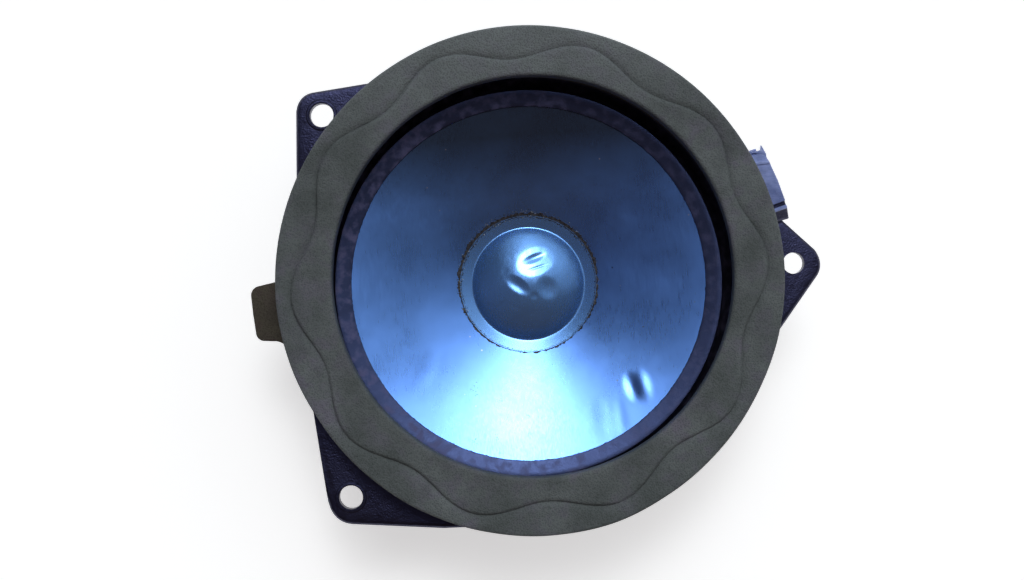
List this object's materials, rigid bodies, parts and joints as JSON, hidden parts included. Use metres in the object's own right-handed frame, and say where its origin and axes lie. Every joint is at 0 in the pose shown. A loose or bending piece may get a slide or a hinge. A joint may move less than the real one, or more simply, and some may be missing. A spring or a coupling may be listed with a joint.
{
  "type": "car door woofer",
  "caption": "Round door speaker: a shallow cone driver with a domed dust cap, foam gasket, eared basket, ring magnet and side plug socket. The cone moves in and out on its roll and spider.",
  "frame": {"origin": "centre of the yoke's rear face", "axes": "+Z along the cone's axis, the way the sound leaves; +X through the single ear beside the plug socket; +Y towards the upper paired ear"},
  "size_m": [0.1865, 0.1637, 0.0635],
  "materials": {
    "basket_plastic": "moulded, fine grain, satin black",
    "foam": "fine open-cell foam, grey-green",
    "foam_base": "fine open-cell foam, olive grey",
    "adhesive": "acrylic tape",
    "surround_rubber": "smooth, dull",
    "spider_cloth": "resin-stiffened woven cotton",
    "zinc_steel": "turned and zinc plated",
    "ferrite": "ground ferrite, dark grey",
    "screw_steel": "zinc plated",
    "socket_plastic": "moulded, glossy, slate blue",
    "tinned_brass": "tinned",
    "solder": "satin",
    "tinsel": "braided copper over cotton",
    "cone_coat": "satin coating, blue-black",
    "cap_coat": "glossy coating, blue-black",
    "glue": "dried contact glue",
    "former_foil": "rolled foil",
    "wrap_paper": "kraft paper",
    "coil_wire": "enamelled copper wire"
  },
  "bodies": {
    "chassis": {"yoke": "zinc_steel", "magnet": "ferrite", "top_plate": "zinc_steel", "basket": "basket_plastic", "motor_screws": "screw_steel", "gasket_adhesive": "adhesive", "gasket_base": "foam_base", "gasket_front": "foam", "surround": "surround_rubber", "spider": "spider_cloth", "connector_housing": "socket_plastic", "terminal_positive": "tinned_brass", "terminal_negative": "tinned_brass", "terminal_solder": "solder", "tinsel_lead_positive": "tinsel", "tinsel_lead_negative": "tinsel"},
    "diaphragm": {"cone": "cone_coat", "dust_cap": "cap_coat", "dust_cap_glue": "glue", "neck_glue": "glue", "voice_coil_former": "former_foil", "former_wrap": "wrap_paper", "voice_coil_winding": "coil_wire", "lead_pads": "tinned_brass"}
  },
  "joints": [
    {"name": "cone_travel", "type": "slide", "parent": "chassis", "child": "diaphragm", "axis": [0, 0, 1], "range_m": [-0.005, 0.005], "stiffness_N_per_m": 1400, "deforming": ["surround", "spider", "tinsel_lead_positive", "tinsel_lead_negative"]}
  ]
}
